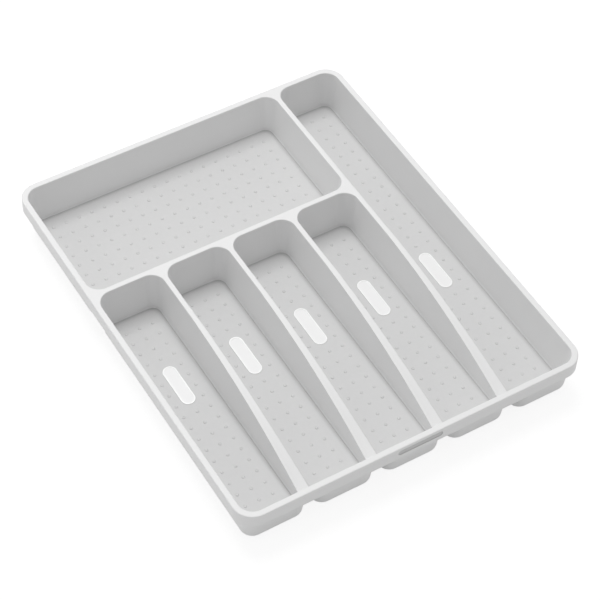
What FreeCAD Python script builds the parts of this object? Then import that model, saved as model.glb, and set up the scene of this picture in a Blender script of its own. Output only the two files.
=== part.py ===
import FreeCAD, Part
import math
import os

import Sketcher

# A drawer tray for cutlery. One white moulding has a flat rim with a lip turned down all
# round, and six tubs hanging from it: four short columns at the front left, one full-length
# column at the right and one wide compartment behind the short columns. Grey soft-grip
# liners lie on the tub floors, white plates stand in windows of the column liners, a grey
# badge sits in the front lip, and four rubber feet carry the tray.
# The frame has +X to the right along the front edge, +Y to the back and +Z up. Its origin
# lies on the resting plane under the middle of the tray.

COLUMNS = 5
# Two lengths closer than this count as equal, in millimetres.
TOLERANCE = 1e-4
COMPARTMENTS = [f"column_{number}" for number in range(1, COLUMNS + 1)] + ["wide"]
SIDES = ("left", "right", "front", "back")

# Driving dimensions, in millimetres, and in degrees for angles.
DIMENSIONS = {
    # Whole tray: over the lip, and from the resting plane to the top of the rim.
    "tray_width": 327.0,
    "tray_length": 403.0,
    "tray_height": 43.0,
    # Rim: flat land round the compartments, and the lip turned down from it.
    "rim_land": 5.5,
    "rim_thickness": 2.2,
    "rim_corner_radius": 18.0,
    "rim_edge_radius": 1.0,
    "lip_height": 13.0,
    "lip_wall": 1.8,
    # Tubs: drafted walls with a hollow between neighbours, floors and their roundings.
    "wall_thickness": 1.9,
    "wall_draft": 5.65,
    "divider_hollow": 1.0,
    "divider_edge_radius": 0.7,
    "floor_thickness": 2.2,
    "floor_corner_radius": 9.0,
    "floor_fillet_radius": 3.5,
    "base_edge_radius": 7.0,
    # Divider across the tray, behind the short columns: place of its centre line.
    "cross_divider_y": 60.9,
    # Column dividers sink towards the front in a long arc, then curve up into the front wall.
    "dip_start_y": -2.0,
    "dip_entry_angle": 1.2,
    "divider_front_height": 6.0,
    "divider_front_fillet": 12.0,
    # Liners: their foot is chamfered over the floor fillet, and their top edge is rounded.
    "liner_thickness": 1.2,
    "liner_gap": 0.25,
    "liner_chamfer_height": 0.6,
    "liner_edge_radius": 0.5,
    # Round bumps on the liners, in rows that line up across the tray.
    "bump_pitch": 12.7,
    "bump_diameter": 3.0,
    "bump_height": 0.35,
    "bump_margin": 6.5,
    # Plates in the column liners: a raised bead round a flat middle.
    "plate_width": 12.6,
    "plate_length": 44.0,
    "plate_centre_y": -32.0,
    "plate_rise": 0.4,
    "plate_bead": 1.3,
    "plate_recess": 0.3,
    "plate_edge_radius": 0.25,
    "plate_gap": 0.3,
    # Badge in the front lip: its centre lies below the top of the rim.
    "badge_length": 42.0,
    "badge_width": 5.0,
    "badge_drop": 5.6,
    "badge_seat_depth": 0.6,
    "badge_thickness": 0.5,
    "badge_edge_radius": 0.2,
    "badge_gap": 0.2,
    # Feet under the outer corners of the tubs.
    "foot_diameter": 12.0,
    "foot_protrusion": 1.4,
    "foot_seat_depth": 0.9,
    "foot_edge_radius": 0.5,
    "foot_gap": 0.2,
    "foot_inset": 20.0,
    # How far a cut runs out past the surface that it opens.
    "cut_margin": 5.0,
}

# Places and sizes that follow from the driving dimensions.
LAYOUT = {
    "rim_right": "dims.tray_width / 2",
    "rim_left": "-rim_right",
    "rim_back": "dims.tray_length / 2",
    "rim_front": "-rim_back",
    "inner_right": "rim_right - dims.rim_land",
    "inner_left": "-inner_right",
    "inner_back": "rim_back - dims.rim_land",
    "inner_front": "-inner_back",
    "floor_level": "dims.foot_protrusion + dims.floor_thickness",
    "cavity_depth": "dims.tray_height - floor_level",
    "wall_lean": "cavity_depth * tan(dims.wall_draft)",
    "rim_opening_radius": "dims.floor_corner_radius + wall_lean",
    "divider_width": "2 * dims.wall_thickness + dims.divider_hollow",
    "column_pitch": f"(inner_right - inner_left + divider_width) / {COLUMNS}",
    # Column dividers: the arc starts at the rim and would reach the front wall at its end.
    "dip_span": f"{COLUMNS - 1} * column_pitch",
    "dip_run": "dims.dip_start_y - inner_front",
    "dip_drop": "cavity_depth - dims.divider_front_height",
    "dip_exit_angle": "2 * atan(dip_drop / dip_run) - dims.dip_entry_angle * 1 deg",
    "dip_radius": "dip_run / (sin(dip_exit_angle) - sin(dims.dip_entry_angle))",
    "dip_centre_y": "dims.dip_start_y + dip_radius * sin(dims.dip_entry_angle)",
    "dip_centre_z": "dims.tray_height - dip_radius * cos(dims.dip_entry_angle)",
    # Liners keep their gap from the fillet at the foot of the wall: their base from its end on
    # the floor, and their upright edge from its surface at the top of the chamfer.
    "floor_fillet_reach": "dims.floor_fillet_radius * tan(45 - dims.wall_draft / 2)",
    "liner_chamfer_width": "sqrt(dims.floor_fillet_radius ^ 2"
    " - (dims.floor_fillet_radius - dims.liner_chamfer_height) ^ 2)",
    "liner_chamfer_angle": "atan(liner_chamfer_width / dims.liner_chamfer_height)",
    "liner_base_inset": "wall_lean + floor_fillet_reach + dims.liner_gap",
    "liner_inset": "liner_base_inset - liner_chamfer_width",
    "bump_sphere_radius": "(dims.bump_diameter ^ 2 / 4 + dims.bump_height ^ 2) / (2 * dims.bump_height)",
    "plate_height": "dims.liner_thickness + dims.plate_rise",
    "badge_centre_x": "(rim_left + rim_right) / 2",
    "badge_centre_z": "dims.tray_height - dims.badge_drop",
    "foot_height": "dims.foot_protrusion + dims.foot_seat_depth",
    "foot_left": "inner_left + dims.foot_inset",
    "foot_right": "inner_right - dims.foot_inset",
    "foot_front": "inner_front + dims.foot_inset",
    "foot_back": "inner_back - dims.foot_inset",
}

# Rim outlines of the compartments. The last column runs the whole length of the tray.
for number in range(1, COLUMNS + 1):
    column = f"column_{number}"
    LAYOUT[f"{column}_left"] = f"inner_left + {number - 1} * column_pitch"
    LAYOUT[f"{column}_right"] = f"{column}_left + column_pitch - divider_width"
    LAYOUT[f"{column}_front"] = "inner_front"
    LAYOUT[f"{column}_back"] = "dims.cross_divider_y - divider_width / 2"
LAYOUT[f"column_{COLUMNS}_back"] = "inner_back"
LAYOUT["wide_left"] = "inner_left"
LAYOUT["wide_right"] = f"column_{COLUMNS - 1}_right"
LAYOUT["wide_front"] = "dims.cross_divider_y + divider_width / 2"
LAYOUT["wide_back"] = "inner_back"

# Bumps: columns centred in each liner, rows on one grid counted from the tray's middle.
for name in COMPARTMENTS:
    border = "(liner_inset + dims.bump_margin)"
    LAYOUT[f"{name}_middle"] = f"({name}_left + {name}_right) / 2"
    LAYOUT[f"{name}_bump_columns"] = (
        f"floor(({name}_right - {name}_left - 2 * {border}) / dims.bump_pitch) + 1"
    )
    LAYOUT[f"{name}_bump_left"] = f"{name}_middle - ({name}_bump_columns - 1) * dims.bump_pitch / 2"
    LAYOUT[f"{name}_first_row"] = f"ceil(({name}_front + {border}) / dims.bump_pitch)"
    LAYOUT[f"{name}_last_row"] = f"floor(({name}_back - {border}) / dims.bump_pitch)"
    LAYOUT[f"{name}_bump_rows"] = f"{name}_last_row - {name}_first_row + 1"
    LAYOUT[f"{name}_bump_front"] = f"{name}_first_row * dims.bump_pitch"

doc = FreeCAD.newDocument("cutlery_tray")
dims = doc.addObject("Spreadsheet::Sheet", "dims")
layout = doc.addObject("Spreadsheet::Sheet", "layout")


def fill_sheet(sheet, cells, prefix):
    """Write names in column A and aliased values or formulas in column B."""
    for row, (alias, content) in enumerate(cells.items(), start=1):
        sheet.set(f"A{row}", alias)
        sheet.set(f"B{row}", f"{prefix}{content}")
        sheet.setAlias(f"B{row}", alias)


fill_sheet(dims, DIMENSIONS, "")
fill_sheet(layout, LAYOUT, "=")
doc.recompute()


def ref(alias):
    """Return the expression that reads a cell by its alias."""
    return f"dims.{alias}" if alias in DIMENSIONS else f"layout.{alias}"


def size(alias):
    """Return the number in a cell."""
    sheet = dims if alias in DIMENSIONS else layout
    return float(sheet.get(alias))


def add_body(label, **place):
    """Start a sub-part; place gives expressions for the x, y or z of its Placement."""
    body = doc.addObject("PartDesign::Body", label)
    body.Label = label
    for axis, expression in place.items():
        body.setExpression(f"Placement.Base.{axis}", expression)
    return body


def add_sketch(body, name, role, **offset):
    """Add a sketch on an origin plane of the body, moved by expressions for x, y or z."""
    sketch = body.newObject("Sketcher::SketchObject", name)
    plane = next(feature for feature in body.Origin.OriginFeatures if feature.Role == role)
    sketch.AttachmentSupport = [(plane, "")]
    sketch.MapMode = "FlatFace"
    for axis, expression in offset.items():
        sketch.setExpression(f"AttachmentOffset.Base.{axis}", expression)
    return sketch


def add_feature(body, kind, name, sketch, reverse=False, **sizes):
    """Add a pad, pocket or revolution of a sketch, with its sizes given as expressions."""
    feature = body.newObject(f"PartDesign::{kind}", name)
    feature.Profile = sketch
    feature.Reversed = reverse
    for setting, expression in sizes.items():
        feature.setExpression(setting, expression)
    return feature


def add_fillet(body, name, base, edges, radius):
    """Round the named edges of the feature before it."""
    fillet = body.newObject("PartDesign::Fillet", name)
    fillet.Base = (base, edges)
    fillet.setExpression("Radius", radius)
    doc.recompute()
    return fillet


def level_edges(feature, level, wanted=lambda middle: True):
    """Name the edges that lie at a level and whose middle is wanted."""
    doc.recompute()
    names = []
    for index, edge in enumerate(feature.Shape.Edges, start=1):
        box = edge.BoundBox
        flat = abs(box.ZMin - level) < TOLERANCE and abs(box.ZMax - level) < TOLERANCE
        if flat and wanted(edge.CenterOfMass):
            names.append(f"Edge{index}")
    return names


def drive(sketch, name, constraint, expression):
    """Add a sketch dimension that follows an expression."""
    index = sketch.addConstraint(constraint)
    sketch.renameConstraint(index, name)
    sketch.setExpression(f"Constraints.{name}", expression)


def line(start, end):
    """Return a sketch line between two (x, y) points."""
    return Part.LineSegment(FreeCAD.Vector(*start, 0), FreeCAD.Vector(*end, 0))


def arc(centre, radius, start, end):
    """Return a sketch arc, anticlockwise between two angles in degrees."""
    circle = Part.Circle(FreeCAD.Vector(*centre, 0), FreeCAD.Vector(0, 0, 1), radius)
    return Part.ArcOfCircle(circle, math.radians(start), math.radians(end))


def draw_rounded_rectangle(sketch, name, corner, grow):
    """Draw the outline that four cells name, moved outwards by the expression grow."""
    left, right, front, back = (size(f"{name}_{side}") for side in SIDES)
    radius = size(corner)
    first = sketch.GeometryCount
    sketch.addGeometry(
        [
            line((left + radius, front), (right - radius, front)),
            arc((right - radius, front + radius), radius, 270, 360),
            line((right, front + radius), (right, back - radius)),
            arc((right - radius, back - radius), radius, 0, 90),
            line((right - radius, back), (left + radius, back)),
            arc((left + radius, back - radius), radius, 90, 180),
            line((left, back - radius), (left, front + radius)),
            arc((left + radius, front + radius), radius, 180, 270),
        ],
        False,
    )
    edges = range(first, first + 8)
    for edge in edges:
        following = first + (edge + 1 - first) % 8
        sketch.addConstraint(Sketcher.Constraint("Tangent", edge, 2, following, 1))
    front_line, right_line, back_line, left_line = edges[0::2]
    for level in (front_line, back_line):
        sketch.addConstraint(Sketcher.Constraint("Horizontal", level))
    for upright in (right_line, left_line):
        sketch.addConstraint(Sketcher.Constraint("Vertical", upright))
    corners = edges[1::2]
    for other in corners[1:]:
        sketch.addConstraint(Sketcher.Constraint("Equal", corners[0], other))
    radius_constraint = Sketcher.Constraint("Radius", corners[0], radius)
    drive(sketch, f"{name}_radius", radius_constraint, f"{ref(corner)} + ({grow})")
    for side, kind, edge, place, sign in (
        ("left", "DistanceX", left_line, left, "-"),
        ("right", "DistanceX", right_line, right, "+"),
        ("front", "DistanceY", front_line, front, "-"),
        ("back", "DistanceY", back_line, back, "+"),
    ):
        constraint = Sketcher.Constraint(kind, -1, 1, edge, 1, place)
        drive(sketch, f"{name}_{side}", constraint, f"layout.{name}_{side} {sign} ({grow})")


def draw_stadium(sketch, name, along, length, width, grow="0", centre=None):
    """Draw a bar with round ends along the sketch's x or y, moved outwards by grow."""
    centre_x, centre_y = (size(alias) for alias in centre) if centre else (0.0, 0.0)
    radius = size(width) / 2
    reach = size(length) / 2 - radius
    turn = 0 if along == "x" else 90
    step_x = reach if along == "x" else 0.0
    step_y = reach if along == "y" else 0.0
    side_x = radius if along == "y" else 0.0
    side_y = radius if along == "x" else 0.0
    far = (centre_x + step_x, centre_y + step_y)
    near = (centre_x - step_x, centre_y - step_y)
    sketch.addGeometry(
        [
            arc(far, radius, turn - 90, turn + 90),
            line((far[0] - side_x, far[1] + side_y), (near[0] - side_x, near[1] + side_y)),
            arc(near, radius, turn + 90, turn + 270),
            line((near[0] + side_x, near[1] - side_y), (far[0] + side_x, far[1] - side_y)),
        ],
        False,
    )
    for edge in range(4):
        sketch.addConstraint(Sketcher.Constraint("Tangent", edge, 2, (edge + 1) % 4, 1))
    straight = "Horizontal" if along == "x" else "Vertical"
    sketch.addConstraint(Sketcher.Constraint(straight, 1))
    sketch.addConstraint(Sketcher.Constraint("Equal", 0, 2))
    radius_constraint = Sketcher.Constraint("Radius", 0, radius)
    drive(sketch, f"{name}_radius", radius_constraint, f"{ref(width)} / 2 + ({grow})")
    middle_x, middle_y = (ref(alias) for alias in centre) if centre else ("0", "0")
    half_reach = f"({ref(length)} - {ref(width)}) / 2"
    lengthwise = ("DistanceX", middle_x) if along == "x" else ("DistanceY", middle_y)
    across = ("DistanceY", middle_y) if along == "x" else ("DistanceX", middle_x)
    for end, place, sign in ((0, far, "+"), (2, near, "-")):
        start = place[0] if along == "x" else place[1]
        constraint = Sketcher.Constraint(lengthwise[0], -1, 1, end, 3, start)
        drive(sketch, f"{name}_end_{end}", constraint, f"{lengthwise[1]} {sign} {half_reach}")
    start = far[1] if along == "x" else far[0]
    drive(sketch, f"{name}_across", Sketcher.Constraint(across[0], -1, 1, 0, 3, start), across[1])


def draw_circle(sketch, name, diameter, grow="0", centre=None):
    """Draw a circle about the sketch's origin, or about the point that two cells name."""
    index = sketch.GeometryCount
    centre_x, centre_y = (size(alias) for alias in centre) if centre else (0.0, 0.0)
    middle_x, middle_y = (ref(alias) for alias in centre) if centre else ("0", "0")
    radius = size(diameter) / 2
    middle = FreeCAD.Vector(centre_x, centre_y, 0)
    sketch.addGeometry(Part.Circle(middle, FreeCAD.Vector(0, 0, 1), radius), False)
    radius_constraint = Sketcher.Constraint("Radius", index, radius)
    drive(sketch, f"{name}_radius", radius_constraint, f"{ref(diameter)} / 2 + ({grow})")
    drive(sketch, f"{name}_x", Sketcher.Constraint("DistanceX", -1, 1, index, 3, centre_x), middle_x)
    drive(sketch, f"{name}_y", Sketcher.Constraint("DistanceY", -1, 1, index, 3, centre_y), middle_y)


def draw_dip(sketch, cover, top):
    """Draw the side view of the column dividers' dip, its lower edge sunk by a cover.

    The lower edge runs down the drafted front wall, round the fillet and back along the
    long arc to the rim. The outline closes upright at the start of the dip and level at top.
    """
    sink = size(cover) if cover else 0.0
    sink_expression = ref(cover) if cover else "0"
    rim = size("tray_height")
    draft = math.radians(size("wall_draft"))
    fillet_radius = size("divider_front_fillet") + sink
    dip_radius = size("dip_radius") - sink
    down = FreeCAD.Vector(math.sin(draft), -math.cos(draft), 0)
    inward = FreeCAD.Vector(math.cos(draft), math.sin(draft), 0)
    rim_point = FreeCAD.Vector(size("inner_front") - sink, rim, 0)
    dip_centre = FreeCAD.Vector(size("dip_centre_y"), size("dip_centre_z"), 0)
    # The fillet's centre keeps its radius from the wall and touches the long arc from outside.
    offset = rim_point + inward * fillet_radius - dip_centre
    slope = offset.dot(down)
    depth = -slope - math.sqrt(slope ** 2 - offset.dot(offset) + (dip_radius + fillet_radius) ** 2)
    fillet_centre = rim_point + down * depth + inward * fillet_radius
    wall_end = rim_point + down * depth
    fillet_start_angle = 180 + size("wall_draft")
    toward_dip = dip_centre - fillet_centre
    fillet_end_angle = math.degrees(math.atan2(toward_dip.y, toward_dip.x)) + 360
    start_y = size("dip_start_y")
    start_z = dip_centre.y + math.sqrt(dip_radius ** 2 - (start_y - dip_centre.x) ** 2)
    start_angle = math.degrees(math.atan2(start_z - dip_centre.y, start_y - dip_centre.x))
    top_level = rim + (size("cut_margin") if top == "above" else 0.0)
    top_expression = "dims.tray_height" + (" + dims.cut_margin" if top == "above" else "")
    top_y = rim_point.x - (top_level - rim) * math.tan(draft)
    sketch.addGeometry(
        [
            line((top_y, top_level), (wall_end.x, wall_end.y)),
            arc((fillet_centre.x, fillet_centre.y), fillet_radius, fillet_start_angle, fillet_end_angle),
            arc((dip_centre.x, dip_centre.y), dip_radius, start_angle, fillet_end_angle - 180),
            line((start_y, start_z), (start_y, top_level)),
            line((start_y, top_level), (top_y, top_level)),
        ],
        False,
    )
    wall, fillet, dip, end, lid = range(5)
    sketch.addConstraint(Sketcher.Constraint("Tangent", wall, 2, fillet, 1))
    sketch.addConstraint(Sketcher.Constraint("Tangent", fillet, 2, dip, 2))
    sketch.addConstraint(Sketcher.Constraint("Coincident", dip, 1, end, 1))
    sketch.addConstraint(Sketcher.Constraint("Coincident", end, 2, lid, 1))
    sketch.addConstraint(Sketcher.Constraint("Coincident", lid, 2, wall, 1))
    sketch.addConstraint(Sketcher.Constraint("Vertical", end))
    sketch.addConstraint(Sketcher.Constraint("Horizontal", lid))
    drive(sketch, "fillet_radius", Sketcher.Constraint("Radius", fillet, fillet_radius),
          f"dims.divider_front_fillet + {sink_expression}")
    drive(sketch, "dip_radius", Sketcher.Constraint("Radius", dip, dip_radius),
          f"layout.dip_radius - {sink_expression}")
    drive(sketch, "dip_centre_y", Sketcher.Constraint("DistanceX", -1, 1, dip, 3, dip_centre.x),
          "layout.dip_centre_y")
    drive(sketch, "dip_centre_z", Sketcher.Constraint("DistanceY", -1, 1, dip, 3, dip_centre.y),
          "layout.dip_centre_z")
    drive(sketch, "start_y", Sketcher.Constraint("DistanceX", -1, 1, end, 1, start_y), "dims.dip_start_y")
    drive(sketch, "top_level", Sketcher.Constraint("DistanceY", -1, 1, lid, 1, top_level), top_expression)
    drive(sketch, "wall_angle", Sketcher.Constraint("Angle", wall, draft - math.pi / 2),
          "(dims.wall_draft - 90) * 1 deg")
    lean = f"({top_expression} - dims.tray_height) * tan(dims.wall_draft)"
    drive(sketch, "wall_top_y", Sketcher.Constraint("DistanceX", -1, 1, wall, 1, top_y),
          f"layout.inner_front - {sink_expression} - {lean}")


def make_shell():
    """The moulding: rim and lip, six drafted tubs, and column dividers that dip."""
    body = add_body("tray_shell")

    # Rim with its lip: a rounded slab, hollowed from below.
    rim_outline = add_sketch(body, "rim_outline", "XY_Plane", z="dims.tray_height")
    draw_rounded_rectangle(rim_outline, "rim", "rim_corner_radius", "0")
    rim = add_feature(body, "Pad", "rim_slab", rim_outline, True, Length="dims.lip_height")
    rim_edges = level_edges(rim, size("tray_height"))
    add_fillet(body, "rim_edge", rim, rim_edges, "dims.rim_edge_radius")
    hollow_outline = add_sketch(body, "lip_hollow_outline", "XY_Plane",
                                z="dims.tray_height - dims.rim_thickness")
    draw_rounded_rectangle(hollow_outline, "rim", "rim_corner_radius", "-dims.lip_wall")
    add_feature(body, "Pocket", "lip_hollow", hollow_outline, Length="dims.lip_height")

    # Tubs, still solid, with round bottom edges.
    tub_outlines = add_sketch(body, "tub_outlines", "XY_Plane", z="dims.tray_height")
    for name in COMPARTMENTS:
        draw_rounded_rectangle(tub_outlines, name, "rim_opening_radius", "dims.wall_thickness")
    tubs = add_feature(body, "Pad", "tubs", tub_outlines, True,
                       Length="dims.tray_height - dims.foot_protrusion", TaperAngle="-dims.wall_draft")
    base_edges = level_edges(tubs, size("foot_protrusion"))
    add_fillet(body, "base_edges", tubs, base_edges, "dims.base_edge_radius")

    # Web that joins the column tubs under the dip and along the front wall.
    web_outline = add_sketch(body, "divider_web_outline", "YZ_Plane")
    draw_dip(web_outline, "wall_thickness", "rim")
    web = add_feature(body, "Pad", "divider_web", web_outline, Length="layout.dip_span")
    web.SideType = "Symmetric"

    # Insides of the tubs, with fillets round the floors and rounded edges at the rim.
    cavity_outlines = add_sketch(body, "cavity_outlines", "XY_Plane", z="dims.tray_height")
    for name in COMPARTMENTS:
        draw_rounded_rectangle(cavity_outlines, name, "rim_opening_radius", "0")
    cavities = add_feature(body, "Pocket", "cavities", cavity_outlines,
                           Length="layout.cavity_depth", TaperAngle="-dims.wall_draft")
    floor_edges = level_edges(cavities, size("floor_level"))
    floors = add_fillet(body, "floor_fillets", cavities, floor_edges, "dims.floor_fillet_radius")
    half_width = size("inner_right") + TOLERANCE
    half_length = size("inner_back") + TOLERANCE
    opening_edges = level_edges(floors, size("tray_height"),
                                lambda middle: abs(middle.x) < half_width and abs(middle.y) < half_length)
    add_fillet(body, "opening_edges", floors, opening_edges, "dims.divider_edge_radius")

    # Dip of the column dividers.
    dip_outline = add_sketch(body, "dip_outline", "YZ_Plane")
    draw_dip(dip_outline, None, "above")
    dip = add_feature(body, "Pocket", "divider_dip", dip_outline, Length="layout.dip_span")
    dip.SideType = "Symmetric"

    # Seats for the badge and the feet.
    badge_outline = add_sketch(body, "badge_seat_outline", "XZ_Plane", z="-layout.rim_front")
    draw_stadium(badge_outline, "seat", "x", "badge_length", "badge_width", "dims.badge_gap",
                 ("badge_centre_x", "badge_centre_z"))
    add_feature(body, "Pocket", "badge_seat", badge_outline, Length="dims.badge_seat_depth")
    feet_outline = add_sketch(body, "foot_seat_outlines", "XY_Plane", z="dims.foot_protrusion")
    for depth in ("front", "back"):
        for side in ("left", "right"):
            draw_circle(feet_outline, f"{depth}_{side}", "foot_diameter", "dims.foot_gap",
                        (f"foot_{side}", f"foot_{depth}"))
    add_feature(body, "Pocket", "foot_seats", feet_outline, True, Length="dims.foot_seat_depth")
    return body


def make_liner(name):
    """A soft-grip sheet with rows of low domes, and a window where a plate stands."""
    body = add_body(f"liner_{name}", z="layout.floor_level")
    base_outline = add_sketch(body, f"base_outline_{name}", "XY_Plane")
    draw_rounded_rectangle(base_outline, name, "rim_opening_radius", "-layout.liner_base_inset")
    add_feature(body, "Pad", f"chamfered_base_{name}", base_outline,
                Length="dims.liner_chamfer_height", TaperAngle="layout.liner_chamfer_angle")
    outline = add_sketch(body, f"outline_{name}", "XY_Plane", z="dims.liner_chamfer_height")
    draw_rounded_rectangle(outline, name, "rim_opening_radius", "-layout.liner_inset")
    sheet = add_feature(body, "Pad", f"sheet_{name}", outline,
                        Length="dims.liner_thickness - dims.liner_chamfer_height")
    top_edges = level_edges(sheet, size("liner_thickness"))
    add_fillet(body, f"sheet_edge_{name}", sheet, top_edges, "dims.liner_edge_radius")

    # One dome, turned about its own axis, then repeated along both directions.
    profile = add_sketch(body, f"bump_profile_{name}", "XZ_Plane", x=f"layout.{name}_bump_left",
                         y="dims.liner_thickness", z=f"-layout.{name}_bump_front")
    radius = size("bump_sphere_radius")
    height = size("bump_height")
    edge = size("bump_diameter") / 2
    edge_angle = math.degrees(math.atan2(radius - height, edge))
    profile.addGeometry(
        [
            line((0, height), (0, 0)),
            line((0, 0), (edge, 0)),
            arc((0, height - radius), radius, edge_angle, 90),
        ],
        False,
    )
    profile.addConstraint(Sketcher.Constraint("Coincident", 0, 2, -1, 1))
    profile.addConstraint(Sketcher.Constraint("Vertical", 0))
    profile.addConstraint(Sketcher.Constraint("Coincident", 0, 2, 1, 1))
    profile.addConstraint(Sketcher.Constraint("Horizontal", 1))
    profile.addConstraint(Sketcher.Constraint("Coincident", 1, 2, 2, 1))
    profile.addConstraint(Sketcher.Constraint("Coincident", 0, 1, 2, 2))
    profile.addConstraint(Sketcher.Constraint("PointOnObject", 2, 3, -2))
    drive(profile, "height", Sketcher.Constraint("DistanceY", 0, 2, 0, 1, height), "dims.bump_height")
    drive(profile, "reach", Sketcher.Constraint("DistanceX", 1, 1, 1, 2, edge), "dims.bump_diameter / 2")
    bump = add_feature(body, "Revolution", f"bump_{name}", profile)
    bump.ReferenceAxis = (profile, ["V_Axis"])
    doc.recompute()
    grid = body.newObject("PartDesign::MultiTransform", f"bumps_{name}")
    grid.Originals = [bump]
    steps = []
    for role, count in (("X_Axis", "bump_columns"), ("Y_Axis", "bump_rows")):
        row = body.newObject("PartDesign::LinearPattern", f"{count}_{name}")
        axis = next(feature for feature in body.Origin.OriginFeatures if feature.Role == role)
        row.Direction = (axis, [""])
        row.setExpression("Occurrences", f"layout.{name}_{count}")
        row.setExpression("Length", f"(layout.{name}_{count} - 1) * dims.bump_pitch")
        steps.append(row)
    grid.Transformations = steps
    body.Tip = grid
    doc.recompute()

    if name != "wide":
        window = add_sketch(body, f"window_outline_{name}", "XY_Plane")
        draw_stadium(window, "window", "y", "plate_length", "plate_width", "dims.plate_gap",
                     (f"{name}_middle", "plate_centre_y"))
        add_feature(body, "Pocket", f"window_{name}", window, True,
                    Length="dims.liner_thickness + dims.bump_height + dims.cut_margin")
    return body


def make_plate(number):
    """A white plate with a raised bead, standing on the tub floor in the liner's window."""
    name = f"column_{number}"
    body = add_body(f"plate_{name}", x=f"layout.{name}_middle", y="dims.plate_centre_y",
                    z="layout.floor_level")
    outline = add_sketch(body, f"plate_outline_{number}", "XY_Plane")
    draw_stadium(outline, "plate", "y", "plate_length", "plate_width")
    add_feature(body, "Pad", f"plate_block_{number}", outline, Length="layout.plate_height")
    recess_outline = add_sketch(body, f"recess_outline_{number}", "XY_Plane", z="layout.plate_height")
    draw_stadium(recess_outline, "recess", "y", "plate_length", "plate_width", "-dims.plate_bead")
    recess = add_feature(body, "Pocket", f"plate_recess_{number}", recess_outline,
                         Length="dims.plate_recess")
    bead_edges = level_edges(recess, size("plate_height"))
    add_fillet(body, f"plate_bead_{number}", recess, bead_edges, "dims.plate_edge_radius")
    return body


def make_badge():
    """A grey badge with round ends, bonded in its seat in the front lip."""
    body = add_body("front_badge", y="layout.rim_front + dims.badge_seat_depth")
    outline = add_sketch(body, "badge_outline", "XZ_Plane")
    draw_stadium(outline, "badge", "x", "badge_length", "badge_width",
                 centre=("badge_centre_x", "badge_centre_z"))
    block = add_feature(body, "Pad", "badge_block", outline, Length="dims.badge_thickness")
    doc.recompute()
    face = -size("badge_thickness")
    names = [f"Edge{index}" for index, edge in enumerate(block.Shape.Edges, start=1)
             if abs(edge.BoundBox.YMax - face) < TOLERANCE]
    add_fillet(body, "badge_edge", block, names, "dims.badge_edge_radius")
    return body


def make_foot(depth, side):
    """A round rubber foot, bonded in its seat under a tub."""
    body = add_body(f"foot_{depth}_{side}", x=f"layout.foot_{side}", y=f"layout.foot_{depth}")
    outline = add_sketch(body, f"foot_outline_{depth}_{side}", "XY_Plane")
    draw_circle(outline, "foot", "foot_diameter")
    block = add_feature(body, "Pad", f"foot_block_{depth}_{side}", outline, Length="layout.foot_height")
    add_fillet(body, f"foot_edge_{depth}_{side}", block, level_edges(block, 0.0), "dims.foot_edge_radius")
    return body


sub_parts = [make_shell()]
sub_parts += [make_liner(name) for name in COMPARTMENTS]
sub_parts += [make_plate(number) for number in range(1, COLUMNS + 1)]
sub_parts += [make_badge()]
sub_parts += [make_foot(depth, side) for depth in ("front", "back") for side in ("left", "right")]
doc.recompute()

# Every feature has to be up to date and every sub-part one valid solid before it is written.
failed = [item.Name for item in doc.Objects if {"Invalid", "Error"} & set(item.State)]
if failed:
    raise RuntimeError(f"features failed: {failed}")
for part in sub_parts:
    if part.Shape.isNull() or not part.Shape.isValid() or len(part.Shape.Solids) != 1:
        raise RuntimeError(f"{part.Label} is not one valid solid")

os.makedirs("parts", exist_ok=True)
for part in sub_parts:
    part.Shape.exportStep(f"parts/{part.Label}.step")
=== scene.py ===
import math

import bmesh
import bpy
from mathutils import Matrix, Vector


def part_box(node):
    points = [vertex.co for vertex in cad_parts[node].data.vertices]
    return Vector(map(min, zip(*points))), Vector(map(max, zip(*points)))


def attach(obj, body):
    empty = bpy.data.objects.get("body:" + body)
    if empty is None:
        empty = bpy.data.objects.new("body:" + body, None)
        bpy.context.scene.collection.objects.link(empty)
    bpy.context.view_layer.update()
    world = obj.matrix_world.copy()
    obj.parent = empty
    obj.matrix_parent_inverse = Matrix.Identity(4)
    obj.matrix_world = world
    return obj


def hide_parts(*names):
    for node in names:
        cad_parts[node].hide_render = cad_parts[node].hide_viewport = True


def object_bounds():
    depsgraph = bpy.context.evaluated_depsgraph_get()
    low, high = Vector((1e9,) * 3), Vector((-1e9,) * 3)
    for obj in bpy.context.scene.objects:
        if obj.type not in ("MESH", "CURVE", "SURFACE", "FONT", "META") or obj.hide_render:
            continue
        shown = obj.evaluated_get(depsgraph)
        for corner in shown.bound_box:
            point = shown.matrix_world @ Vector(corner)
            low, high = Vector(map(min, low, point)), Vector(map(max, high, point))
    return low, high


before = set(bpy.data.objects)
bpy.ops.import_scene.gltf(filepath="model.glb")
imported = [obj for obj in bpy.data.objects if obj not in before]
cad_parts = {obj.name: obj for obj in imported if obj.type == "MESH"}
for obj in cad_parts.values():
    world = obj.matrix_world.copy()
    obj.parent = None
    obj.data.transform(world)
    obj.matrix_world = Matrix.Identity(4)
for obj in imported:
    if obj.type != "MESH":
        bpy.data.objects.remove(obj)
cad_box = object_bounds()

# Tray shell: one injection moulding of white polypropylene, with the rim, the lip and six
# drafted tubs in one piece. The shape is the CAD shell's own, and its edges get the small
# round that the mould leaves.
MM = 0.001
SHELL_PALE = "EAEAEA"
SHELL_DEEP = "E6E6E6"
# The shade painted into the shell's creases: its colour, how far it reaches and the open share at which
# it clears.
SHELL_CREASE_SHADE = "B0B0B0"
SHELL_CREASE_REACH = 4.0 * MM
SHELL_CREASE_CLEAR = 0.85
SHELL_CLOUD = 60 * MM
SHELL_GLOSSY_ROUGHNESS = 0.41
SHELL_DULL_ROUGHNESS = 0.49
SHELL_EDGE = 0.6 * MM
SHELL_GRIT = 0.6 * MM
SHELL_GRIT_DEPTH = 0.01 * MM
POLYPROPYLENE_IOR = 1.49
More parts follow.
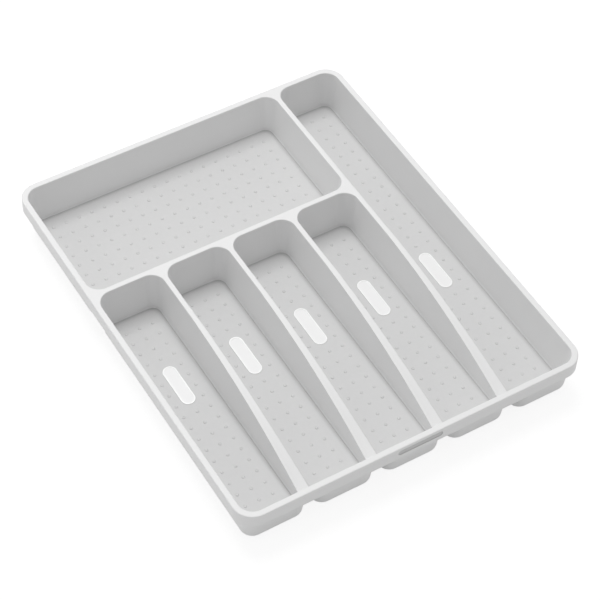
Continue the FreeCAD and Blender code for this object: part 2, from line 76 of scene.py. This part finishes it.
# Painted shade in a crease is at its darkest where this share of its surroundings is open, and
# each finish is clear of it at a larger share of its own.
CREASE_CLOSED = 0.35
CREASE_SAMPLES = 12


def linear(hex_colour):
    """Turn an sRGB hex colour into the linear colour that a shader takes."""
    channels = [int(hex_colour[i:i + 2], 16) / 255 for i in (0, 2, 4)]
    return [c / 12.92 if c <= 0.04045 else ((c + 0.055) / 1.055) ** 2.4 for c in channels] + [1.0]


def add_node(tree, kind, inputs=(), **settings):
    """Add a node with its settings, and set its inputs, by name or number, to values or outputs."""
    made = tree.nodes.new(kind)
    for name, value in settings.items():
        setattr(made, name, value)
    for name, value in dict(inputs).items():
        if isinstance(value, bpy.types.NodeSocket):
            tree.links.new(value, made.inputs[name])
        else:
            made.inputs[name].default_value = value
    return made


def start_material(name):
    """Return a new material, its emptied tree and the piece's own coordinates in metres."""
    material = bpy.data.materials.new(name)
    material.use_nodes = True
    tree = material.node_tree
    tree.nodes.clear()
    place = add_node(tree, "ShaderNodeTexCoord").outputs["Object"]
    return material, tree, place


def paint_crease_shade(tree, tint, crease_shade, reach, clear):
    """Paint shade into a colour where surfaces nearby close in on it, as at the foot of a wall."""
    opening = add_node(tree, "ShaderNodeAmbientOcclusion", {"Distance": reach}, samples=CREASE_SAMPLES)
    share = add_node(tree, "ShaderNodeMapRange", {
        "Value": opening.outputs["AO"], "From Min": CREASE_CLOSED, "From Max": clear})
    shaded = add_node(tree, "ShaderNodeMix", {
        "Factor": share.outputs["Result"], "A": linear(crease_shade), "B": tint}, data_type="RGBA")
    return shaded.outputs["Result"]


# Polypropylene from a spark-eroded mould looks an almost even white, with a broad satin sheen
# that shifts a little from patch to patch. The mould's grit is about 0.05 mm, too fine to show,
# so it is drawn at 0.6 mm.
def moulded_polypropylene(name):
    """Satin white plastic with softened edges and painted shade in its creases."""
    material, tree, place = start_material(name)
    cloud = add_node(tree, "ShaderNodeTexNoise", {
        "Vector": place, "Scale": 1 / SHELL_CLOUD, "Detail": 3.0})
    tint = add_node(tree, "ShaderNodeMix", {
        "Factor": cloud.outputs["Fac"], "A": linear(SHELL_DEEP), "B": linear(SHELL_PALE)},
        data_type="RGBA")
    gloss = add_node(tree, "ShaderNodeMapRange", {
        "Value": cloud.outputs["Fac"], "To Min": SHELL_GLOSSY_ROUGHNESS, "To Max": SHELL_DULL_ROUGHNESS})
    edge = add_node(tree, "ShaderNodeBevel", {"Radius": SHELL_EDGE})
    grit = add_node(tree, "ShaderNodeTexNoise", {
        "Vector": place, "Scale": 1 / SHELL_GRIT, "Detail": 2.0})
    relief = add_node(tree, "ShaderNodeBump", {
        "Height": grit.outputs["Fac"], "Strength": 1.0, "Distance": SHELL_GRIT_DEPTH,
        "Normal": edge.outputs["Normal"]})
    # Painted shade darkens the colour where nearby surfaces close in, as at the foot of the walls.
    colour = paint_crease_shade(tree, tint.outputs["Result"], SHELL_CREASE_SHADE, SHELL_CREASE_REACH,
                           SHELL_CREASE_CLEAR)
    shader = add_node(tree, "ShaderNodeBsdfPrincipled", {
        "Base Color": colour, "Roughness": gloss.outputs["Result"],
        "Normal": relief.outputs["Normal"], "IOR": POLYPROPYLENE_IOR})
    add_node(tree, "ShaderNodeOutputMaterial", {"Surface": shader.outputs["BSDF"]})
    return material


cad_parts["tray_shell"].material_slots[0].material = moulded_polypropylene("moulded_polypropylene")

# Liners: light grey thermoplastic elastomer sheets, moulded with low round domes and bonded to
# the tub floors. The border of each sheet thins to an edge that reaches up the fillet of the
# floor, and a window is left where a plate stands.
SHEET_THICKNESS = 1.2 * MM
SHEET_CORNER = 7.5 * MM
SHEET_EDGE = 0.12 * MM
SHEET_FOOT_HEIGHT = 0.95 * MM
SHEET_FOOT_WIDTH = 2.1 * MM
SHEET_REACH = 0.4 * MM
WINDOW_GAP = 0.05 * MM
DOME_PITCH = 12.7 * MM
DOME_RADIUS = 1.5 * MM
DOME_SINK = 0.05 * MM
DOME_MARGIN = 6.5 * MM
DOME_RINGS = 3
DOME_SIDES = 12
LINER_PALE = "D6D6D6"
LINER_DEEP = "D2D2D2"
# Colour of the shade painted into the liners' creases.
LINER_CREASE_SHADE = "969696"
LINER_ROUGHNESS = 0.75
ELASTOMER_MOTTLE = 4 * MM
ELASTOMER_STIPPLE = 0.8 * MM
ELASTOMER_STIPPLE_DEPTH = 0.02 * MM
# How far the shade painted into the elastomer's creases reaches, and the open share at which it clears.
ELASTOMER_CREASE_REACH = 7.0 * MM
ELASTOMER_CREASE_CLEAR = 0.92
ELASTOMER_IOR = 1.45
CORNER_SEGMENTS = 10
EDGE_SEGMENTS = 3
MERGE_GAP = 0.001 * MM
WELD_GAP = 0.03 * MM
# A round end takes just under half its width as its radius, so that the bevel has an edge to end
# on, and the weld closes what is left.
ROUND_END = 0.998
scene = bpy.context.scene


def flat_outline(corners, radii):
    """Return a mesh of one flat face, with each of its corners rounded by a radius of its own."""
    mesh = bmesh.new()
    points = [mesh.verts.new((x, y, 0)) for x, y in corners]
    mesh.faces.new(points)
    for point, radius in zip(points, radii):
        if radius:
            bmesh.ops.bevel(mesh, geom=[point], offset=radius, affect="VERTICES",
                            segments=CORNER_SEGMENTS, profile=0.5, material=-1)
    return mesh


def mirror_half(mesh):
    """Complete an outline of which the half to the right of the middle line is drawn."""
    bmesh.ops.mirror(mesh, geom=mesh.verts[:] + mesh.edges[:] + mesh.faces[:], axis="X",
                     merge_dist=MERGE_GAP)
    bmesh.ops.remove_doubles(mesh, verts=mesh.verts, dist=WELD_GAP)
    bmesh.ops.recalc_face_normals(mesh, faces=mesh.faces)
    mesh.faces.ensure_lookup_table()
    if mesh.faces[0].normal.z < 0:
        bmesh.ops.reverse_faces(mesh, faces=mesh.faces)


def in_window(point, window):
    """Tell whether a point of a liner is in the window of its plate or on the window's edge."""
    if window is None:
        return False
    side, near, far = window
    return abs(point.x) < side + WINDOW_GAP and near - WINDOW_GAP < point.y < far + WINDOW_GAP


def thicken(mesh, depth, rolled_edge, window=None):
    """Give a flat outline its thickness below it and roll its upper edge, but not round a window.

    Return the lower faces."""
    upper = mesh.faces[:]
    lower = bmesh.ops.extrude_face_region(mesh, geom=upper, use_keep_orig=True)["geom"]
    lower_points = [item for item in lower if isinstance(item, bmesh.types.BMVert)]
    lower_faces = [item for item in lower if isinstance(item, bmesh.types.BMFace)]
    bmesh.ops.translate(mesh, verts=lower_points, vec=(0, 0, -depth))
    bmesh.ops.recalc_face_normals(mesh, faces=mesh.faces)
    rim = [edge for edge in mesh.edges if sum(face in upper for face in edge.link_faces) == 1
           and not in_window((edge.verts[0].co + edge.verts[1].co) / 2, window)]
    bmesh.ops.bevel(mesh, geom=rim, offset=rolled_edge, affect="EDGES", segments=EDGE_SEGMENTS,
                    profile=0.5, material=-1)
    return lower_faces


def make_dome(height):
    """Return the mesh of one dome: a closed cap of a sphere, sunk a little into the sheet."""
    rise = height + DOME_SINK
    sphere_radius = (DOME_RADIUS ** 2 + rise ** 2) / (2 * rise)
    half_angle = math.asin(DOME_RADIUS / sphere_radius)
    cap = bmesh.new()
    top = cap.verts.new((0, 0, sphere_radius))
    bmesh.ops.spin(cap, geom=[top], cent=(0, 0, 0), axis=(0, 1, 0), angle=half_angle, steps=DOME_RINGS)
    bmesh.ops.spin(cap, geom=cap.verts[:] + cap.edges[:], cent=(0, 0, 0), axis=(0, 0, 1),
                   angle=math.radians(360), steps=DOME_SIDES, use_merge=True)
    bmesh.ops.remove_doubles(cap, verts=cap.verts, dist=MERGE_GAP)
    bmesh.ops.holes_fill(cap, edges=cap.edges, sides=0)
    bmesh.ops.recalc_face_normals(cap, faces=cap.faces)
    bmesh.ops.translate(cap, verts=cap.verts, vec=(0, 0, height - sphere_radius))
    for face in cap.faces:
        face.smooth = True
    dome = bpy.data.meshes.new("liner_dome")
    cap.to_mesh(dome)
    cap.free()
    return dome


def dome_rows(near_end, far_end):
    """Return the places of the rows of domes between two ends, on a grid from the tray's middle."""
    first = math.ceil((near_end + DOME_MARGIN) / DOME_PITCH)
    last = math.floor((far_end - DOME_MARGIN) / DOME_PITCH)
    return [row * DOME_PITCH for row in range(first, last + 1)]


# Thermoplastic elastomer looks flat and even, with next to no sheen, and a faint mottle when
# seen close. The skin's stipple is about 0.1 mm, too fine to show, so it is drawn at 0.8 mm.
def grip_elastomer(name, pale, deep, crease_shade, roughness):
    """Matte elastomer with a mottled colour, a soft stippled skin and painted shade in its creases."""
    material, tree, place = start_material(name)
    mottle = add_node(tree, "ShaderNodeTexNoise", {
        "Vector": place, "Scale": 1 / ELASTOMER_MOTTLE, "Detail": 4.0})
    tint = add_node(tree, "ShaderNodeMix", {
        "Factor": mottle.outputs["Fac"], "A": linear(deep), "B": linear(pale)}, data_type="RGBA")
    stipple = add_node(tree, "ShaderNodeTexNoise", {
        "Vector": place, "Scale": 1 / ELASTOMER_STIPPLE, "Detail": 2.0})
    relief = add_node(tree, "ShaderNodeBump", {
        "Height": stipple.outputs["Fac"], "Strength": 1.0, "Distance": ELASTOMER_STIPPLE_DEPTH})
    # Painted shade darkens the colour in creases, as where a sheet meets a wall.
    colour = paint_crease_shade(tree, tint.outputs["Result"], crease_shade, ELASTOMER_CREASE_REACH,
                           ELASTOMER_CREASE_CLEAR)
    shader = add_node(tree, "ShaderNodeBsdfPrincipled", {
        "Base Color": colour, "Roughness": roughness,
        "Normal": relief.outputs["Normal"], "IOR": ELASTOMER_IOR})
    add_node(tree, "ShaderNodeOutputMaterial", {"Surface": shader.outputs["BSDF"]})
    return material


def add_piece(mesh, material, node):
    """Make an object of a finished mesh that rides on the tray and stands for a CAD node."""
    name = f"soft_{node}"
    data = bpy.data.meshes.new(name)
    mesh.to_mesh(data)
    mesh.free()
    data.materials.append(material)
    piece = bpy.data.objects.new(name, data)
    scene.collection.objects.link(piece)
    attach(piece, "root")
    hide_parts(node)


liner_elastomer = grip_elastomer(
    "liner_elastomer", LINER_PALE, LINER_DEEP, LINER_CREASE_SHADE, LINER_ROUGHNESS)
wide_low, wide_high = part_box("liner_wide")
liner_dome = make_dome(wide_high.z - wide_low.z - SHEET_THICKNESS)
for tub in ("column_1", "column_2", "column_3", "column_4", "column_5", "wide"):
    low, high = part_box(f"liner_{tub}")
    half_width = (high.x - low.x) / 2 + SHEET_REACH
    near_end = low.y - SHEET_REACH
    far_end = high.y + SHEET_REACH
    corners = [(0, near_end), (half_width, near_end), (half_width, far_end), (0, far_end)]
    radii = [0, SHEET_CORNER, SHEET_CORNER, 0]
    window = None
    if tub != "wide":
        plate_low, plate_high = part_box(f"plate_{tub}")
        side = (plate_high.x - plate_low.x) / 2 + WINDOW_GAP
        near = plate_low.y - WINDOW_GAP
        far = plate_high.y + WINDOW_GAP
        window = (side, near, far)
        corners += [(0, far), (side, far), (side, near), (0, near)]
        radii += [0, ROUND_END * side, ROUND_END * side, 0]
    liner = flat_outline(corners, radii)
    mirror_half(liner)
    # Below its thin edge the border slopes in to the sheet's foot. A window's sides go straight down.
    lower_faces = thicken(liner, SHEET_THICKNESS - SHEET_FOOT_HEIGHT, SHEET_EDGE, window)
    bmesh.ops.inset_region(liner, faces=lower_faces, thickness=SHEET_FOOT_WIDTH, use_boundary=True,
                           use_even_offset=True)
    sheet_foot = {point for face in lower_faces for point in face.verts}
    sheet_foot.update(point for point in liner.verts if point.co.z < 0 and in_window(point.co, window))
    bmesh.ops.translate(liner, verts=list(sheet_foot), vec=(0, 0, -SHEET_FOOT_HEIGHT))
    # The columns of domes are centred on the sheet, and none stands in the window.
    columns = int((high.x - low.x - 2 * DOME_MARGIN) // DOME_PITCH) + 1
    for column in range(columns):
        x = (column - (columns - 1) / 2) * DOME_PITCH
        for y in dome_rows(low.y, high.y):
            if in_window(Vector((x, y, 0)), window):
                continue
            start = len(liner.verts)
            liner.from_mesh(liner_dome)
            liner.verts.ensure_lookup_table()
            bmesh.ops.translate(liner, verts=liner.verts[start:], vec=(x, y, 0))
    sheet_place = ((low.x + high.x) / 2, 0, low.z + SHEET_THICKNESS)
    bmesh.ops.translate(liner, verts=liner.verts, vec=sheet_place)
    add_piece(liner, liner_elastomer, f"liner_{tub}")

# Plates: small white mouldings of polystyrene, standing on the tub floors in windows of the
# liners. The shape is the CAD plate's own: a bead that the mould polishes runs round a flat
# middle, which it leaves lightly frosted. The bead is also painted a lighter white than the
# middle, as a painted highlight.
PLATE_RECESS = 0.3 * MM
PLATE_SHOULDER = 0.15 * MM
# The bead's colour carries a painted highlight over the plate's own white, which is the middle's colour
# below.
PLATE_BEAD_HIGHLIGHT = "FDFDFD"
PLATE_FROSTED = "EFEFEF"
PLATE_BEAD_ROUGHNESS = 0.2
PLATE_FROSTED_ROUGHNESS = 0.45
PLATE_FROST = 0.8 * MM
PLATE_FROST_DEPTH = 0.008 * MM
POLYSTYRENE_IOR = 1.59


# Polished polystyrene looks a clean bright white, glossy on the bead and duller on the middle.
# The bead's lighter white is a painted highlight. The frost is about 0.03 mm, too fine to show,
# so it is drawn at 0.8 mm.
def polystyrene_with_painted_highlight(name, middle_height, shoulder_height):
    """Bright white plastic, polished and painted with a lighter highlight above the shoulder, and
    frosted on the middle below it.
    """
    material, tree, place = start_material(name)
    height = add_node(tree, "ShaderNodeSeparateXYZ", {"Vector": place}).outputs["Z"]
    polish_and_highlight = add_node(tree, "ShaderNodeMapRange", {
        "Value": height, "From Min": middle_height, "From Max": shoulder_height})
    # The bead's lighter white is a painted highlight. The middle keeps the plate's own white.
    tint = add_node(tree, "ShaderNodeMix", {
        "Factor": polish_and_highlight.outputs["Result"], "A": linear(PLATE_FROSTED), "B": linear(PLATE_BEAD_HIGHLIGHT)},
        data_type="RGBA")
    gloss = add_node(tree, "ShaderNodeMapRange", {
        "Value": polish_and_highlight.outputs["Result"], "To Min": PLATE_FROSTED_ROUGHNESS,
        "To Max": PLATE_BEAD_ROUGHNESS})
    frost = add_node(tree, "ShaderNodeTexNoise", {
        "Vector": place, "Scale": 1 / PLATE_FROST, "Detail": 2.0})
    relief = add_node(tree, "ShaderNodeBump", {
        "Height": frost.outputs["Fac"], "Strength": 1.0, "Distance": PLATE_FROST_DEPTH})
    shader = add_node(tree, "ShaderNodeBsdfPrincipled", {
        "Base Color": tint.outputs["Result"], "Roughness": gloss.outputs["Result"],
        "Normal": relief.outputs["Normal"], "IOR": POLYSTYRENE_IOR})
    add_node(tree, "ShaderNodeOutputMaterial", {"Surface": shader.outputs["BSDF"]})
    return material


plate_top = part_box("plate_column_1")[1].z
plate_polystyrene = polystyrene_with_painted_highlight("polystyrene_with_painted_highlight", plate_top - PLATE_RECESS,
                                         plate_top - PLATE_SHOULDER)
for name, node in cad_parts.items():
    if name.startswith("plate_"):
        node.material_slots[0].material = plate_polystyrene

# Front badge: a bare grey inlay of the liners' elastomer, moulded with a low border round a
# sunk panel and bonded in a seat of the front lip.
BADGE_EDGE = 0.15 * MM
BADGE_BORDER = 0.7 * MM
BADGE_SINK = 0.12 * MM
BADGE_PALE = "CFCFCF"
BADGE_DEEP = "CBCBCB"
# Colour of the shade painted into the badge's creases.
BADGE_CREASE_SHADE = "969696"
BADGE_ROUGHNESS = 0.7
UPWARD = 0.99


def sink_panel(mesh, rolled_edge, border, sink):
    """Leave a border round the upper face of a thickened outline, and sink the rest a step."""
    panel = [face for face in mesh.faces
             if face.normal.z > UPWARD and face.calc_center_median().z > -rolled_edge / 2]
    bmesh.ops.inset_region(mesh, faces=panel, thickness=border, use_boundary=True, use_even_offset=True)
    bmesh.ops.inset_region(mesh, faces=panel, thickness=sink, depth=-sink, use_boundary=True,
                           use_even_offset=True)


def turn_and_place(mesh, degrees, place):
    """Turn a piece that was drawn flat about the X axis, and carry it to its place on the tray."""
    turned = Matrix.Translation(place) @ Matrix.Rotation(math.radians(degrees), 4, "X")
    bmesh.ops.transform(mesh, matrix=turned, verts=mesh.verts)


badge_elastomer = grip_elastomer(
    "badge_elastomer", BADGE_PALE, BADGE_DEEP, BADGE_CREASE_SHADE, BADGE_ROUGHNESS)
low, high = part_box("front_badge")
half_length = (high.x - low.x) / 2
half_height = (high.z - low.z) / 2
badge = flat_outline(
    [(0, -half_height), (half_length, -half_height), (half_length, half_height), (0, half_height)],
    [0, ROUND_END * half_height, ROUND_END * half_height, 0])
mirror_half(badge)
thicken(badge, high.y - low.y, BADGE_EDGE)
sink_panel(badge, BADGE_EDGE, BADGE_BORDER, BADGE_SINK)
turn_and_place(badge, degrees=90, place=((low.x + high.x) / 2, low.y, (low.z + high.z) / 2))
add_piece(badge, badge_elastomer, "front_badge")

# Feet: round pads of darker grey rubber, moulded with a dished tread and bonded in shallow
# seats under the tubs.
FOOT_EDGE = 0.5 * MM
FOOT_BORDER = 1.4 * MM
FOOT_DISH = 0.4 * MM
FOOT_SIDES = 48
FOOT_PALE = "A6A6A6"
FOOT_DEEP = "9E9E9E"
# Colour of the shade painted into the feet's creases.
FOOT_CREASE_SHADE = "707070"
FOOT_ROUGHNESS = 0.8
foot_rubber = grip_elastomer("foot_rubber", FOOT_PALE, FOOT_DEEP, FOOT_CREASE_SHADE, FOOT_ROUGHNESS)
for corner in ("front_left", "front_right", "back_left", "back_right"):
    low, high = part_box(f"foot_{corner}")
    foot = bmesh.new()
    bmesh.ops.create_circle(foot, cap_ends=True, segments=FOOT_SIDES, radius=(high.x - low.x) / 2)
    thicken(foot, high.z - low.z, FOOT_EDGE)
    sink_panel(foot, FOOT_EDGE, FOOT_BORDER, FOOT_DISH)
    turn_and_place(foot, degrees=180, place=((low.x + high.x) / 2, (low.y + high.y) / 2, low.z))
    add_piece(foot, foot_rubber, f"foot_{corner}")

# Studio floor: a wide pale matte sheet that keeps the tray's shadow. Where the camera sees it,
# a darker matte and an even glow of its own add up to white.
FLOOR_SIZE = 6.0
FLOOR_COLOUR = "EEEEEE"
SEEN_FLOOR_COLOUR = "7C7C7C"
FLOOR_GLOW = 0.86


def background_seen(tree):
    """Return the factor that is 1 on rays which show the background itself."""
    path = add_node(tree, "ShaderNodeLightPath")
    seen = add_node(tree, "ShaderNodeMath", {
        0: path.outputs["Is Camera Ray"], 1: path.outputs["Is Glossy Ray"]}, operation="MAXIMUM")
    seen_or_through = add_node(tree, "ShaderNodeMath", {
        0: seen.outputs["Value"], 1: path.outputs["Is Transmission Ray"]}, operation="MAXIMUM")
    return seen_or_through.outputs["Value"]


floor_mesh = bmesh.new()
bmesh.ops.create_grid(floor_mesh, x_segments=1, y_segments=1, size=FLOOR_SIZE / 2)
floor_data = bpy.data.meshes.new("floor")
floor_mesh.to_mesh(floor_data)
floor_mesh.free()
floor = bpy.data.objects.new("floor", floor_data)
scene.collection.objects.link(floor)
floor_material = bpy.data.materials.new("studio_floor")
floor_material.use_nodes = True
floor_tree = floor_material.node_tree
floor_tree.nodes.clear()
matte = add_node(floor_tree, "ShaderNodeBsdfDiffuse", {"Color": linear(FLOOR_COLOUR)})
seen_matte = add_node(floor_tree, "ShaderNodeBsdfDiffuse", {"Color": linear(SEEN_FLOOR_COLOUR)})
glow = add_node(floor_tree, "ShaderNodeEmission", {"Strength": FLOOR_GLOW})
seen_floor = add_node(floor_tree, "ShaderNodeAddShader", {
    0: seen_matte.outputs["BSDF"], 1: glow.outputs["Emission"]})
floor_surface = add_node(floor_tree, "ShaderNodeMixShader", {
    "Fac": background_seen(floor_tree), 1: matte.outputs["BSDF"], 2: seen_floor.outputs["Shader"]})
add_node(floor_tree, "ShaderNodeOutputMaterial", {"Surface": floor_surface.outputs["Shader"]})
floor_data.materials.append(floor_material)

# Studio light: an even surround that looks white, a large softbox above and behind the tray,
# and weak softboxes low behind it and at its left.
SURROUND_COLOUR = "FFFFFF"
SURROUND_LIGHT = 0.50
SURROUND_SEEN = 1.0
world = bpy.data.worlds.new("studio")
scene.world = world
world.use_nodes = True
world_tree = world.node_tree
world_tree.nodes.clear()
ambient = add_node(world_tree, "ShaderNodeBackground", {
    "Color": linear(SURROUND_COLOUR), "Strength": SURROUND_LIGHT})
backdrop = add_node(world_tree, "ShaderNodeBackground", {
    "Color": linear(SURROUND_COLOUR), "Strength": SURROUND_SEEN})
surround = add_node(world_tree, "ShaderNodeMixShader", {
    "Fac": background_seen(world_tree), 1: ambient.outputs["Background"],
    2: backdrop.outputs["Background"]})
add_node(world_tree, "ShaderNodeOutputWorld", {"Surface": surround.outputs["Shader"]})


def add_softbox(name, place, width, watts):
    """Add a square area light that faces the tray's middle."""
    lamp = bpy.data.lights.new(name, "AREA")
    lamp.shape = "SQUARE"
    lamp.size = width
    lamp.energy = watts
    softbox = bpy.data.objects.new(name, lamp)
    softbox.location = place
    softbox.rotation_mode = "QUATERNION"
    softbox.rotation_quaternion = (-Vector(place)).to_track_quat("-Z", "Y")
    scene.collection.objects.link(softbox)


add_softbox("overhead_softbox", place=(0.08, 0.87, 2.48), width=1.35, watts=32.4)
add_softbox("back_softbox", place=(0, 1.3, 1.1), width=1.2, watts=2.1)
add_softbox("left_softbox", place=(-1.5, 0, 0.8), width=1.2, watts=1.3)

# Camera: the photograph's viewpoint, from the front left and well above, with a slight roll.
# It aims at a point level with the rim, and its lens gives the photograph's perspective.
AZIMUTH = math.radians(-32.66)
ELEVATION = math.radians(50.09)
ROLL = math.radians(2.29)
DISTANCE = 1734.93 * MM
AIM = Vector((-9.93 * MM, -29.3 * MM, cad_box[1].z))
SENSOR_WIDTH = 36.0
FOCAL_PIXELS = 2060.67
IMAGE_PIXELS = 600
outward = Vector((math.sin(AZIMUTH) * math.cos(ELEVATION), -math.cos(AZIMUTH) * math.cos(ELEVATION),
                  math.sin(ELEVATION)))
level_right = Vector((math.cos(AZIMUTH), math.sin(AZIMUTH), 0))
level_up = outward.cross(level_right)
right = math.cos(ROLL) * level_right + math.sin(ROLL) * level_up
up = math.cos(ROLL) * level_up - math.sin(ROLL) * level_right
camera_turn = Matrix((right, up, outward)).transposed().to_4x4()
camera_data = bpy.data.cameras.new("camera")
camera_data.sensor_width = SENSOR_WIDTH
camera_data.lens = FOCAL_PIXELS / IMAGE_PIXELS * SENSOR_WIDTH
camera = bpy.data.objects.new("camera", camera_data)
camera.matrix_world = Matrix.Translation(AIM + outward * DISTANCE) @ camera_turn
scene.collection.objects.link(camera)
scene.camera = camera
scene.view_settings.view_transform = "Standard"
